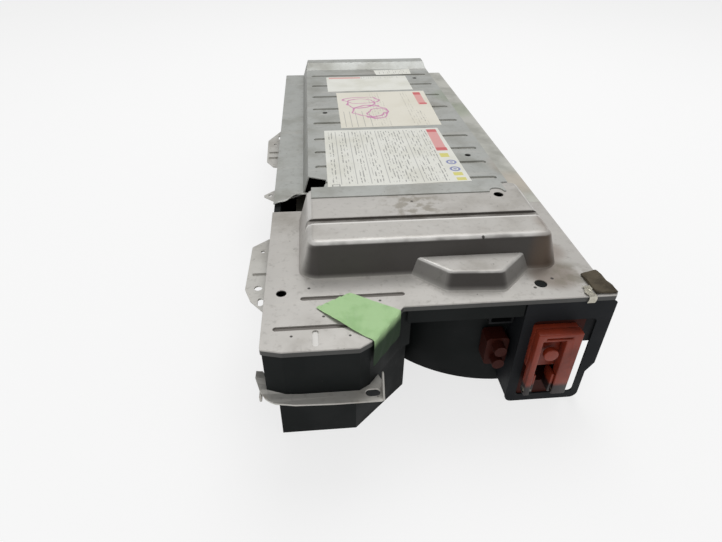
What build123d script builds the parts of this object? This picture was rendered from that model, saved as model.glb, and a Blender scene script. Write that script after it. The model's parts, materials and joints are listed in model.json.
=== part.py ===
from build123d import *
import os

# Traction battery pack of a hybrid car: a pressed steel case with two lids, a stack of
# prismatic modules, its electrics at the near end and a service plug in an end panel.
# Millimetres. X runs across the pack, Y along it from the service plug end to the far
# end, Z up. The origin is the middle of the flat underside.

os.makedirs("parts", exist_ok=True)

# ---------------------------------------------------------------- driving dimensions
pack_length = 905.0        # deck, near edge to far edge
deck_width = 360.0
deck_height = 160.0        # underside to the top of the lid flanges
lid_sheet = 1.2
case_sheet = 1.6
bracket_sheet = 2.0
press_draft = 17.0         # slope of the pressed walls, degrees

# case
flange_width = 8.0         # deck edge to the outside of a case wall
block_height = 60.0        # depth of the upper block at the near left corner
block_setback = 34.0       # lower wall behind the near edge, under the block
deck_front = 55.0          # deck edge right of the block, behind the near edge
alcove_left = -26.0        # wall between the block and the alcove
alcove_depth = 141.0       # deepest point of the alcove, behind the near edge
alcove_front = 92.5        # case wall behind the service plug panel
alcove_flat_x = 100.0      # where the curved alcove wall runs straight again
nose_right = -88.0         # right end of the block's near face
nose_corner = 20.0         # near left corner of the block, cut back
diagonal_right = -39.0     # where the diagonal face meets the deck's front edge
corner_flare = 7.0         # near right corner, outside the deck's side
header_height = 22.0       # lip hanging over the alcove
rail_height = 20.4         # platforms pressed up under the modules
rail_width = 30.0
rail_spacing = 190.0

# near lid
dome_height = 40.0
dome_width = 290.0         # at the deck
dome_start = 105.0
dome_end = 256.0
dome_edge = 9.0            # outer radius along the top of the dome
bump_height = 20.0
bump_left = -32.0
bump_right = 116.0
bump_corner = 12.0
bump_edge = 5.0
near_lid_end = 258.0
groove_y = 162.0
groove_width = 10.0
groove_depth = 2.6
bead_width = 6.0
bead_depth = 1.6
hem_height = 7.0

# far lid
panel_height = 28.0
panel_width = 281.0        # at the deck
panel_margin = 8.0         # flange behind the panel
ridge_height = 38.0
tongue_start = 216.0
tongue_left = -128.0
tongue_right = 112.0
rib_width = 9.0
rib_depth = 2.4
rib_length = 244.0
rib_start = 281.0
rib_pitch = 51.0
far_rib_start = 505.0
far_rib_pitch = 71.0

# module stack
module_pitch = 19.6
module_width = 275.0
module_height = 106.0
module_gap = 1.6
stack_start = 300.0
stack_margin = 48.0        # clear behind the stack
end_plate_thickness = 18.0
rod_diameter = 8.0
terminal_reach = 5.0
hose_radius = 5.0
hose_x = 30.0            # vent ports and their hose, from the middle of the stack
terminal_height = 84.0     # above the foot of a module
bus_thickness = 1.5

# service plug
plug_inset = 42.0          # plug's middle, from the right edge of the deck
panel_reach_left = 46.0    # panel and its window, each way from the plug's middle
panel_reach_right = 52.0
panel_foot_reach = 44.0
panel_notch = 52.0         # height of the notch in the panel's right edge
window_reach_left = 34.0
window_reach_right = 36.0
window_bottom = 11.0
window_top = 127.0
plug_width = 50.0
lever_leg = 11.0
lever_thickness = 12.0
lever_length = 84.0
pivot_height = 36.0
pin_diameter = 6.0
pin_clearance = 0.05
lever_side_gap = 0.4
lever_stand = 19.0         # lever's face, ahead of the panel

running_gap = 0.3          # between pieces that only stand close

# ---------------------------------------------------------------- derived places
near_end = -pack_length / 2
deck_bottom = deck_height - lid_sheet
rim_bottom = deck_bottom - case_sheet
wall_x = deck_width / 2 - flange_width
deck_half = deck_width / 2
shelf_height = deck_height - block_height
rail_top = case_sheet + rail_height
panel_end = pack_length - panel_margin
module_count = 2 * int((pack_length - stack_start - stack_margin) / (2 * module_pitch))
plug_x = deck_half - plug_inset
panel_left = plug_x - panel_reach_left
panel_right = plug_x + panel_reach_right
panel_foot_right = plug_x + panel_foot_reach
window_left = plug_x - window_reach_left
window_right = plug_x + window_reach_right


def along(distance):
    """Y of a place, from its distance behind the near edge of the deck."""
    return near_end + distance


def plan(points):
    """Turn (x, distance behind the near edge) pairs into XY points."""
    return [(x, along(distance)) for x, distance in points]


def polygon(points, radius=0.0):
    """A flat face through plan points, its corners rounded where a radius is given."""
    with BuildSketch() as face:
        with BuildLine():
            Polyline(*plan(points), close=True)
        make_face()
        if radius:
            fillet(face.vertices(), radius)
    return face.sketch


# ---------------------------------------------------------------- shared outlines
deck_points = [
    (-deck_half, 5.0),
    (-deck_half + nose_corner, 0.0),
    (nose_right, 0.0),
    (nose_right + 12.0, 8.0),
    (diagonal_right, deck_front),
    (deck_half + corner_flare, deck_front),
    (deck_half, 100.0),
    (deck_half, pack_length),
    (-deck_half, pack_length),
]
block_points = [
    (-deck_half + case_sheet, 6.0),
    (-deck_half + nose_corner, case_sheet + 0.4),
    (nose_right, case_sheet + 0.4),
    (nose_right + 10.5, 9.0),
    (diagonal_right - 1.0, deck_front + case_sheet),
    (alcove_left - 3.0, deck_front + case_sheet + 6.0),
    (alcove_left, 94.0),
    (alcove_left + 6.0, alcove_depth),
    (-90.0, 170.0),
    (-deck_half + case_sheet, 72.0),
]


def case_plan(inset):
    """Outline of the tray at floor level, drawn in by a wall thickness."""
    with BuildSketch() as tray:
        with BuildLine():
            wall = Polyline(*plan([
                (alcove_flat_x, alcove_front),
                (wall_x, alcove_front),
                (wall_x, pack_length - flange_width),
                (-wall_x, pack_length - flange_width),
                (-wall_x, block_setback),
                (nose_right - 1.0, block_setback),
                (alcove_left, 94.0),
                (alcove_left + 6.0, alcove_depth),
            ]))
            TangentArc(wall @ 0, wall @ 1, tangent=(-1, 0))
        make_face()
        if inset:
            offset(amount=-inset)
    return tray.sketch


def block_plan(inset):
    """Outline of the upper block, drawn in by a wall thickness."""
    with BuildSketch() as block:
        add(polygon(block_points))
        if inset:
            offset(amount=-inset)
    return block.sketch


def deck_plan(inset=0.0):
    """Outline of the whole deck."""
    with BuildSketch() as deck:
        add(polygon(deck_points))
        fillet(deck.vertices(), 3.0)
        if inset:
            offset(amount=-inset)
    return deck.sketch


tray_outer = case_plan(0.0)
tray_inner = case_plan(case_sheet)
block_outer = block_plan(0.0)
block_inner = block_plan(case_sheet)
rim_outer = deck_plan(lid_sheet + running_gap)

# ---------------------------------------------------------------- lower case
rail_centres = [-rail_spacing / 2, rail_spacing / 2]
rail_start = stack_start - end_plate_thickness
rail_end = stack_start + module_count * module_pitch + end_plate_thickness
rail_mid = along((rail_start + rail_end) / 2)
rail_run = rail_end - rail_start

with BuildPart() as lower_case:
    with BuildSketch():
        add(tray_outer)
    extrude(amount=rim_bottom)
    with BuildSketch(Plane.XY.offset(shelf_height)):
        add(block_outer)
    extrude(amount=rim_bottom - shelf_height)
    with BuildSketch(Plane.XY.offset(rim_bottom)):
        add(rim_outer)
    extrude(amount=case_sheet)
    with BuildSketch(Plane.XY.offset(case_sheet)):
        add(tray_inner)
    extrude(amount=deck_height, mode=Mode.SUBTRACT)
    with BuildSketch(Plane.XY.offset(shelf_height + case_sheet)):
        add(block_inner)
    extrude(amount=deck_height, mode=Mode.SUBTRACT)
    # lip over the alcove
    with BuildSketch(Plane.XY.offset(rim_bottom - header_height)):
        with Locations((alcove_left - 8.0, along(deck_front + case_sheet + 0.3))):
            Rectangle(panel_left - alcove_left + 6.0, case_sheet, align=(Align.MIN, Align.MIN))
    extrude(amount=header_height)
    # platforms pressed up from the floor, open underneath
    with BuildSketch(Plane.XY.offset(case_sheet)):
        with Locations(*[(x, rail_mid) for x in rail_centres]):
            Rectangle(rail_width + 2 * case_sheet, rail_run + 2 * case_sheet)
    extrude(amount=rail_height)
    with BuildSketch():
        with Locations(*[(x, rail_mid) for x in rail_centres]):
            Rectangle(rail_width, rail_run)
    extrude(amount=rail_height, mode=Mode.SUBTRACT)

lower_case.part.label = "lower_case"

# ---------------------------------------------------------------- near lid
dome_middle = (dome_start + dome_end) / 2
dome_run = dome_end - dome_start
bump_points = [(bump_left, dome_start + 8.0), (bump_left + 41.0, dome_start - 32.0),
               (bump_right - 45.0, dome_start - 36.0), (bump_right, dome_start + 8.0),
               (bump_right, dome_start + 60.0), (bump_left, dome_start + 60.0)]


def slanted_edges(form):
    """Edges of a drafted form that run up its corners."""
    return form.edges().filter_by(lambda edge: abs(edge.tangent_at(0.5).Z) > 0.3)


def top_edges(form):
    """Edges round the highest face of a form."""
    return form.faces().sort_by(Axis.Z)[-1].edges()


def pressed_dome(inset):
    """Outer or inner skin of the near lid's dome."""
    level = deck_bottom if inset else deck_height
    with BuildPart() as form:
        with BuildSketch(Plane.XY.offset(level)):
            with Locations((0.0, along(dome_middle))):
                RectangleRounded(dome_width - 2 * inset, dome_run - 2 * inset, 22.0 - inset)
        extrude(amount=dome_height, taper=press_draft)
        fillet(top_edges(form), dome_edge - inset)
    return form.part


def pressed_bump(inset):
    """Outer or inner skin of the low bump in front of the dome."""
    level = deck_bottom if inset else deck_height
    with BuildPart() as form:
        with BuildSketch(Plane.XY.offset(level)):
            add(polygon(bump_points))
            if inset:
                offset(amount=-inset, kind=Kind.INTERSECTION)
        extrude(amount=bump_height, taper=26.0)
        fillet(slanted_edges(form).sort_by(Axis.Y)[:2], bump_corner - inset)
        fillet(top_edges(form), bump_edge - inset)
    return form.part


def lip_ring(height):
    """Wall hanging from the outline of the deck."""
    with BuildPart() as ring:
        with BuildSketch(Plane.XY.offset(deck_height - height)):
            add(deck_plan())
            add(deck_plan(lid_sheet), mode=Mode.SUBTRACT)
        extrude(amount=height)
    return ring.part


dome_outside = pressed_dome(0.0)
dome_inside = pressed_dome(lid_sheet)
bump_outside = pressed_bump(0.0)
bump_inside = pressed_bump(lid_sheet)
hem_ring = lip_ring(hem_height)

# grooves pressed into the near lid: middle, length, direction and level
beads = [
    ((nose_right - 1.0, 75.0), 108.0, 0.0),
    ((nose_right - 44.0, 31.0), 74.0, 0.0),
    ((nose_right - 40.5, 16.0), 22.0, 90.0),
]


def bead_sketch(spread):
    """Plan of the beads, wider by a spread for the back of the sheet."""
    with BuildSketch() as slots:
        for (x, distance), length, turn in beads:
            with Locations(Location((x, along(distance), 0.0), (0, 0, turn))):
                SlotOverall(length + spread, bead_width + spread)
    return slots.sketch


def groove_sketch(spread):
    """Plan of the groove that crosses the dome."""
    with BuildSketch() as strip:
        with Locations((0.0, along(groove_y))):
            Rectangle(dome_width, groove_width + spread)
    return strip.sketch


bead_front = bead_sketch(0.0)
bead_back = bead_sketch(2 * lid_sheet)
groove_front = groove_sketch(0.0)
groove_back = groove_sketch(2 * lid_sheet)
dome_top = deck_height + dome_height
dome_hole_x = dome_width / 2 - 45.0

with BuildPart() as groove_core:
    add(dome_outside)
    with BuildSketch(Plane.XY.offset(dome_top - lid_sheet - groove_depth)):
        add(groove_back)
    extrude(amount=2 * groove_depth, mode=Mode.INTERSECT)

with BuildPart() as near_lid:
    with BuildSketch(Plane.XY.offset(deck_bottom)):
        add(deck_plan())
    extrude(amount=lid_sheet)
    add(hem_ring)
    with BuildSketch(Plane.XY.offset(deck_bottom - bead_depth)):
        add(bead_back)
    extrude(amount=bead_depth)
    add(dome_outside)
    add(bump_outside)
    add(dome_inside, mode=Mode.SUBTRACT)
    add(bump_inside, mode=Mode.SUBTRACT)
    add(groove_core.part)
    with BuildSketch(Plane.XY.offset(dome_top - groove_depth)):
        add(groove_front)
    extrude(amount=2 * groove_depth, mode=Mode.SUBTRACT)
    with BuildSketch(Plane.XY.offset(deck_height - bead_depth)):
        add(bead_front)
    extrude(amount=bead_depth, mode=Mode.SUBTRACT)
    # end of the lid, its bolt holes and the hole in the dome
    with BuildSketch(Plane.XY.offset(-deck_height)):
        with Locations((0.0, along(near_lid_end))):
            Rectangle(2 * deck_width, pack_length, align=(Align.CENTER, Align.MIN))
        with Locations((-deck_half + 17.4, along(85.5))):
            Circle(5.5)
        with Locations((deck_half - 67.5, along(80.1))):
            Circle(6.75)
        with Locations((dome_hole_x, along(dome_end - 47.0))):
            Circle(6.0)
    extrude(amount=3 * deck_height, mode=Mode.SUBTRACT)

near_lid.part.label = "near_lid"

# ---------------------------------------------------------------- far lid
gap_points = [(-200.0, 235.0), (-200.0, 276.0), (-181.0, 281.0), (-140.0, 306.0), (-108.0, 291.0),
              (-113.0, 262.0), (-129.0, 248.0), (-129.0, 235.0)]
panel_overrun = 20.0       # inner skin runs out past the panel's near and far ends
ridge_foot = panel_end - 61.0
profile_end = pack_length + 25.0
profile_foot = deck_height - 20.0
ramp_profile = [
    (tongue_start, dome_height),
    (dome_end - 13.0, dome_height),
    (dome_end + 7.0, panel_height - lid_sheet),
    (ridge_foot, panel_height - lid_sheet),
    (ridge_foot + 22.0, ridge_height - lid_sheet),
    (profile_end, ridge_height - lid_sheet),
]
far_rib_count = int((ridge_foot - 45.0 - far_rib_start) / far_rib_pitch) + 1
rib_places = [rib_start + rib_pitch * step for step in range(4)]
rib_places += [far_rib_start + far_rib_pitch * step for step in range(far_rib_count)]


def lid_profile(lift):
    """Side view of the far lid's top, filled down below the deck."""
    with BuildSketch(Plane.YZ) as side:
        with BuildLine():
            Polyline(*[(along(distance), deck_height + level + lift) for distance, level in ramp_profile],
                     (along(profile_end), profile_foot), (along(tongue_start), profile_foot),
                     close=True)
        make_face()
    return side.sketch_local


def pressed_panel(inset):
    """Outer or inner skin of the raised panel, to its profile along the pack."""
    level = deck_bottom if inset else deck_height
    middle = (near_lid_end + panel_end) / 2
    run = panel_end - near_lid_end
    overrun = panel_overrun if inset else 0.0
    with BuildPart() as form:
        with BuildSketch(Plane.XY.offset(level)):
            with Locations((0.0, along(middle - overrun / 2))):
                Rectangle(panel_width - 2 * inset, run - 2 * inset + overrun)
        extrude(amount=60.0, taper=press_draft)
        with BuildSketch(Plane.YZ):
            add(lid_profile(0.0 if inset else lid_sheet))
        extrude(amount=deck_width, both=True, mode=Mode.INTERSECT)
    return form.part


panel_outside = pressed_panel(0.0)
panel_inside = pressed_panel(lid_sheet)

with BuildPart() as tongue:
    with BuildSketch(Plane.YZ):
        add(lid_profile(lid_sheet))
        add(lid_profile(0.0), mode=Mode.SUBTRACT)
    extrude(amount=deck_width, both=True)
    with BuildSketch():
        with Locations((tongue_left, along(tongue_start))):
            Rectangle(tongue_right - tongue_left, 54.0, align=(Align.MIN, Align.MIN))
    extrude(amount=2 * deck_height, mode=Mode.INTERSECT)

with BuildPart() as far_lid:
    with BuildSketch(Plane.XY.offset(deck_bottom)):
        add(deck_plan())
        with Locations((0.0, along(near_lid_end + running_gap))):
            Rectangle(2 * deck_width, pack_length, align=(Align.CENTER, Align.MAX), mode=Mode.SUBTRACT)
    extrude(amount=lid_sheet)
    add(panel_outside)
    add(panel_inside, mode=Mode.SUBTRACT)
    add(tongue.part)
    # cross ribs pressed into the panel
    with BuildSketch(Plane.XY.offset(deck_height + panel_height - lid_sheet - rib_depth)):
        with Locations(*[(0.0, along(place)) for place in rib_places]):
            SlotOverall(rib_length + 2 * lid_sheet, rib_width + 2 * lid_sheet)
    extrude(amount=rib_depth)
    with BuildSketch(Plane.XY.offset(deck_height + panel_height - rib_depth)):
        with Locations(*[(0.0, along(place)) for place in rib_places]):
            SlotOverall(rib_length, rib_width)
    extrude(amount=4 * rib_depth, mode=Mode.SUBTRACT)
    with BuildSketch(Plane.XY.offset(-deck_height)):
        add(polygon(gap_points))
        with Locations(*plan([(-101.0, far_rib_start + 52.0), (102.0, rib_start + 76.0),
                              (94.0, rib_places[-2] + 44.0)])):
            Circle(4.5)
        with Locations((dome_hole_x, along(tongue_start))):
            Circle(9.0)
    extrude(amount=3 * deck_height, mode=Mode.SUBTRACT)

far_lid.part.label = "far_lid"

# ---------------------------------------------------------------- service plug panel
panel_face = deck_front + lid_sheet + 2 * running_gap
panel_back = panel_face + bracket_sheet
panel_run = alcove_front - panel_face - running_gap


def facing_front(distance):
    """Upright plane that faces the near end, at a distance behind the near edge."""
    return Plane.XZ.offset(-along(distance))


def add_block(x, distance, z, width, run, height):
    """Add a block to the part being built, from its lowest, nearest, leftmost corner."""
    with Locations((x, along(distance), z)):
        Box(width, run, height, align=(Align.MIN, Align.MIN, Align.MIN))


with BuildPart() as plug_panel:
    with BuildSketch(facing_front(panel_back)):
        with BuildLine():
            Polyline(
                (panel_left, 0.0),
                (panel_foot_right, 0.0),
                (panel_foot_right, panel_notch - 8.0),
                (panel_right, panel_notch + 6.0),
                (panel_right, rim_bottom - 9.0),
                (panel_right - 6.0, rim_bottom - 5.0),
                (panel_right - 7.0, rim_bottom),
                (panel_left, rim_bottom),
                close=True,
            )
        make_face()
        with Locations(((window_left + window_right) / 2, (window_bottom + window_top) / 2)):
            RectangleRounded(window_right - window_left, window_top - window_bottom, 5.0, mode=Mode.SUBTRACT)
    extrude(amount=bracket_sheet)
    fillet(plug_panel.edges().filter_by(Axis.Y).group_by(Axis.Z)[0], 9.0)
    # side and top returned to the case
    add_block(panel_left, panel_face, 9.0, bracket_sheet, panel_run, rim_bottom - 9.0)
    add_block(panel_left, panel_face, rim_bottom - bracket_sheet, 84.0, panel_run, bracket_sheet)

plug_panel.part.label = "plug_panel"

# ---------------------------------------------------------------- service plug
cheek_thickness = 4.0
grip_width = plug_width - 2 * lever_leg - 2 * lever_side_gap
lever_front = panel_face - lever_stand
lever_back = lever_front + lever_thickness
pivot_distance = lever_front + lever_thickness / 2
lever_top = pivot_height + lever_length
grip_bottom = pivot_height + 30.0
grip_top = lever_top - 14.0
grip_depth = 14.0          # reach of the grip into its socket
socket_bottom = pivot_height - 10.0

with BuildPart() as service_plug_socket:
    with BuildSketch(facing_front(alcove_front - running_gap)):
        with Locations((plug_x, (socket_bottom + lever_top) / 2)):
            RectangleRounded(plug_width, lever_top - socket_bottom, 4.0)
    extrude(amount=alcove_front - running_gap - panel_back)
    with BuildSketch(facing_front(panel_back + bracket_sheet)):
        with Locations((plug_x - 6.0, (window_bottom + window_top) / 2)):
            RectangleRounded(plug_width + 36.0 - 12.0, window_top - window_bottom + 14.0, 4.0)
        with Locations((window_right, (window_bottom + window_top) / 2)):
            Rectangle(2 * (window_right - plug_x - plug_width / 2), 2 * window_top, mode=Mode.SUBTRACT)
    extrude(amount=bracket_sheet)
    # pocket for the grip and the deep mouth below it
    with BuildSketch(facing_front(panel_back)):
        with Locations((plug_x, (grip_bottom + grip_top) / 2)):
            Rectangle(grip_width + 2 * running_gap, grip_top - grip_bottom + 2 * running_gap)
    extrude(amount=-grip_depth, mode=Mode.SUBTRACT)
    with BuildSketch(facing_front(panel_back)):
        with Locations((plug_x, (socket_bottom + 6.0 + grip_bottom - 4.0) / 2)):
            RectangleRounded(grip_width + 8.0, grip_bottom - socket_bottom - 10.0, 4.0)
    extrude(amount=-(alcove_front - panel_back - 6.0), mode=Mode.SUBTRACT)

service_plug_socket.part.label = "service_plug_socket"

with BuildPart() as service_plug_grip:
    with BuildSketch(facing_front(panel_back + grip_depth)):
        with Locations((plug_x, (grip_bottom + grip_top) / 2)):
            Rectangle(grip_width, grip_top - grip_bottom)
    extrude(amount=panel_back + grip_depth - lever_back + 4.0)
    # cheeks that carry the lever
    with BuildSketch(facing_front(panel_back - running_gap)):
        for side in (-1, 1):
            with Locations((plug_x + side * (grip_width - cheek_thickness) / 2,
                            (pivot_height - 8.0 + grip_bottom) / 2)):
                Rectangle(cheek_thickness, grip_bottom - pivot_height + 8.0)
    extrude(amount=panel_back - running_gap - lever_front - 1.0)
    # round boss on the front of the grip
    with BuildSketch(facing_front(lever_back - 4.0)):
        with Locations((plug_x, (grip_bottom + grip_top) / 2)):
            Circle(9.0)
    extrude(amount=5.0)
    with BuildSketch(Plane.YZ.offset(plug_x)):
        with Locations((along(pivot_distance), pivot_height)):
            Circle(pin_diameter / 2)
    extrude(amount=plug_width, both=True, mode=Mode.SUBTRACT)

service_plug_grip.part.label = "service_plug_grip"

with BuildPart() as service_plug_lever:
    with BuildSketch(facing_front(lever_back)):
        with Locations((plug_x, pivot_height + lever_length / 2 - 3.0)):
            RectangleRounded(plug_width, lever_length + 6.0, 5.0)
        with Locations((plug_x, pivot_height + lever_length / 2 - 10.0)):
            Rectangle(plug_width - 2 * lever_leg, lever_length + 6.0 - 6.0, mode=Mode.SUBTRACT)
    extrude(amount=lever_thickness)
    with BuildSketch(Plane.YZ.offset(plug_x)):
        with Locations((along(pivot_distance), pivot_height)):
            Circle(pin_diameter / 2 + pin_clearance)
    extrude(amount=plug_width, both=True, mode=Mode.SUBTRACT)
    # finger ribs across the top bar
    with BuildSketch(facing_front(lever_front)):
        with GridLocations(6.0, 1.0, 6, 1):
            with Locations((plug_x, lever_top - 5.5)):
                Rectangle(2.0, 7.0)
    extrude(amount=1.2)

service_plug_lever.part.label = "service_plug_lever"

pin_inner = grip_width / 2 - cheek_thickness
with BuildPart() as lever_pins:
    for side in (-1, 1):
        with BuildSketch(Plane.YZ.offset(plug_x + side * pin_inner)):
            with Locations((along(pivot_distance), pivot_height)):
                Circle(pin_diameter / 2)
        extrude(amount=side * (plug_width / 2 - pin_inner - 0.6))

lever_pins.part.label = "lever_pins"

# ---------------------------------------------------------------- connectors in the alcove
with BuildPart() as hv_connector:
    with BuildSketch(facing_front(alcove_front)):
        with Locations((panel_left - 16.0, 70.0)):
            RectangleRounded(26.0, 40.0, 5.0)
    extrude(amount=20.0)
    with BuildSketch(facing_front(alcove_front - 20.0)):
        with Locations((panel_left - 16.0, 80.0), (panel_left - 16.0, 61.0)):
            Circle(7.0)
    extrude(amount=12.0)

hv_connector.part.label = "hv_connector"

with BuildPart() as signal_connector:
    with BuildSketch(facing_front(alcove_front)):
        with Locations((panel_left - 16.0, 118.0)):
            RectangleRounded(28.0, 18.0, 2.0)
    extrude(amount=16.0)
    with BuildSketch(facing_front(alcove_front - 16.0)):
        with Locations((panel_left - 16.0, 118.0)):
            RectangleRounded(23.0, 13.0, 1.5)
    extrude(amount=-13.0, mode=Mode.SUBTRACT)

signal_connector.part.label = "signal_connector"

# ---------------------------------------------------------------- brackets
bracket_right = nose_right + 24.0
bracket_face = -12.0        # near edge, ahead of the deck's
front_bracket_points = [
    (-deck_half + 10.0, block_setback - running_gap),
    (-deck_half + 2.0, 22.0),
    (-deck_half - 10.0, 23.0),
    (-deck_half - 6.0, 10.0),
    (-deck_half + 2.0, -2.0),
    (-deck_half + 16.0, -9.5),
    (bracket_right, bracket_face),
    (bracket_right, block_setback - running_gap),
]
with BuildPart() as front_bracket:
    with BuildSketch(Plane.XY.offset(shelf_height - bracket_sheet)):
        add(polygon(front_bracket_points))
        with Locations(*plan([(bracket_right - 11.3, -1.5)])):
            SlotOverall(15.0, 10.0, mode=Mode.SUBTRACT)
    extrude(amount=bracket_sheet)
    # rolled near edge and the upturned tab at its right end
    add_block(-deck_half + 20.0, bracket_face + 0.3, shelf_height - 8.0,
              bracket_right + deck_half - 22.0, bracket_sheet, 7.0)
    add_block(bracket_right - bracket_sheet, bracket_face, shelf_height - 1.0, bracket_sheet, 14.0, 9.0)

front_bracket.part.label = "front_bracket"

side_plate_top = deck_height - 20.0
side_leg = 26.0
near_bracket_points = [(0.0, 226.0), (13.0, 224.0), (32.0, 207.0), (32.5, 177.0),
                       (33.5, 122.0), (26.0, 101.0), (12.0, 83.0), (0.0, 81.0)]
far_bracket_points = [(0.0, 602.0), (12.0, 600.0), (32.0, 556.0), (29.5, 467.0), (18.0, 445.0), (0.0, 443.0)]
lug_points = [(0.0, 366.0), (10.0, 362.0), (28.0, 344.0), (10.0, 326.0), (0.0, 324.0)]


def side_bracket(points, holes, rib_at):
    """Flat ear with an upright leg against the case wall, its ribs and holes, from (reach, distance) pairs."""
    first = min(distance for reach, distance in points)
    last = max(distance for reach, distance in points)
    with BuildPart() as bracket:
        with BuildSketch(Plane.XY.offset(side_plate_top - bracket_sheet)):
            add(polygon([(-wall_x - reach, distance) for reach, distance in points]))
        extrude(amount=bracket_sheet)
        fillet(bracket.edges().filter_by(Axis.Z).sort_by(Axis.X)[:3], 4.0)
        add_block(-wall_x - bracket_sheet, first, side_plate_top - side_leg,
                  bracket_sheet, last - first, side_leg)
        for place in rib_at:
            add_block(-wall_x - 27.0, place, side_plate_top, 24.0, 9.0, 2.5)
        with BuildSketch(Plane.XY):
            for reach, distance, width, length in holes:
                with Locations((-wall_x - reach, along(distance))):
                    SlotOverall(length, width, rotation=90) if length > width else Circle(width / 2)
        extrude(amount=2 * deck_height, mode=Mode.SUBTRACT)
    return bracket


side_bracket_near = side_bracket(
    near_bracket_points, [(18.5, 196.0, 5.0, 5.0), (19.0, 123.0, 9.0, 9.0), (15.0, 98.0, 6.0, 13.0)], [148.0])
side_bracket_near.part.label = "side_bracket_near"
side_bracket_far = side_bracket(
    far_bracket_points, [(18.5, 538.0, 6.0, 6.0), (12.0, 570.0, 5.0, 16.0)], [478.0, 500.0])
side_bracket_far.part.label = "side_bracket_far"
side_lug = side_bracket(lug_points, [(17.0, 345.0, 6.0, 6.0)], [])
side_lug.part.label = "side_lug"

with BuildPart() as bracket_bolts:
    with BuildSketch(Plane.YZ.offset(-wall_x - bracket_sheet)):
        with Locations(*[(along(distance), side_plate_top - 14.0) for distance in
                         (100.0, 150.0, 205.0, 345.0, 460.0, 522.0, 585.0)]):
            RegularPolygon(6.5, 6)
    extrude(amount=-5.0)

bracket_bolts.part.label = "bracket_bolts"

# ---------------------------------------------------------------- pieces on the deck
pad_points = [(-17.0, 83.0), (-19.0, 94.0), (-2.0, 99.0), (4.0, 58.0), (-2.0, 60.0)]
with BuildPart() as corner_pad:
    with BuildSketch(Plane.XY.offset(deck_height)):
        add(polygon([(deck_half + reach, distance) for reach, distance in pad_points]))
    extrude(amount=5.0)

corner_pad.part.label = "corner_pad"

tab_sheet = 0.8
with BuildPart() as earth_tab:
    add_block(deck_half - 26.0, deck_front - tab_sheet, deck_height, 11.0, 22.0, tab_sheet)
    add_block(deck_half - 26.0, deck_front - tab_sheet, deck_height - 9.0, 11.0, tab_sheet, 9.4)

earth_tab.part.label = "earth_tab"

tape_thickness = 0.3
tape_points = [(nose_right - 3.7, 80.0), (nose_right - 39.0, 59.0), (nose_right - 16.0, 32.5),
               (nose_right + 12.3, 8.4), (nose_right + 43.5, 48.0)]
diagonal_turn = 51.8
with BuildPart() as masking_tape:
    with BuildSketch(Plane.XY.offset(deck_height)):
        add(polygon(tape_points))
    extrude(amount=tape_thickness)
    with BuildSketch(Plane.XY.offset(deck_height - 34.0)):
        with Locations(Location((nose_right + 30.8, along(31.4), 0.0), (0, 0, diagonal_turn))):
            Rectangle(50.0, tape_thickness)
    extrude(amount=34.0 + tape_thickness)

masking_tape.part.label = "masking_tape"

panel_top = deck_height + panel_height
label_thickness = 0.2
label_outlines = [
    [(-106.7, 266.0), (85.5, 272.0), (80.5, 470.0), (-105.3, 470.0)],
    [(-76.9, 480.0), (91.0, 484.0), (95.5, 672.0), (-75.7, 669.0)],
    [(-91.2, 678.0), (77.0, 682.0), (76.7, 780.0), (-91.3, 778.0)],
    [(16.0, 790.0), (91.5, 794.0), (94.0, 832.0), (14.0, 826.0)],
]
with BuildPart() as labels:
    with BuildSketch(Plane.XY.offset(panel_top)):
        for outline in label_outlines:
            add(polygon(outline))
    extrude(amount=label_thickness)

labels.part.label = "labels"

# ---------------------------------------------------------------- module stack
module_top = rail_top + module_height
case_depth = module_pitch - module_gap
modules = []
for number in range(module_count):
    front = stack_start + number * module_pitch + module_gap
    with BuildPart() as module:
        with BuildSketch(Plane.XY.offset(rail_top)):
            with Locations((0.0, along(front + case_depth / 2))):
                Rectangle(module_width, case_depth)
        extrude(amount=module_height)
        # walls between the cells keep the air gap to the next module
        with BuildSketch(Plane.XY.offset(rail_top + 7.0)):
            with Locations((0.0, along(front - module_gap / 2))):
                with GridLocations(46.0, 1.0, 5, 1):
                    Rectangle(5.0, module_gap)
        extrude(amount=module_height - 14.0)
        with BuildSketch(Plane.XY.offset(rail_top + terminal_height - 6.0)):
            with Locations((0.0, along(front + case_depth / 2))):
                Rectangle(module_width + 2 * terminal_reach, 12.0)
        extrude(amount=12.0)
        with BuildSketch(Plane.XY.offset(module_top)):
            with Locations((hose_x, along(front + case_depth / 2))):
                Rectangle(12.0, 8.0)
        extrude(amount=3.0)
    module.part.label = "battery_module_%02d" % (number + 1)
    modules.append(module)

stack_end = stack_start + module_count * module_pitch
rod_x = 60.0
rod_above = module_top + rod_diameter / 2 + 2.0
rod_below = rail_top - rod_diameter / 2 - 2.0


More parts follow.
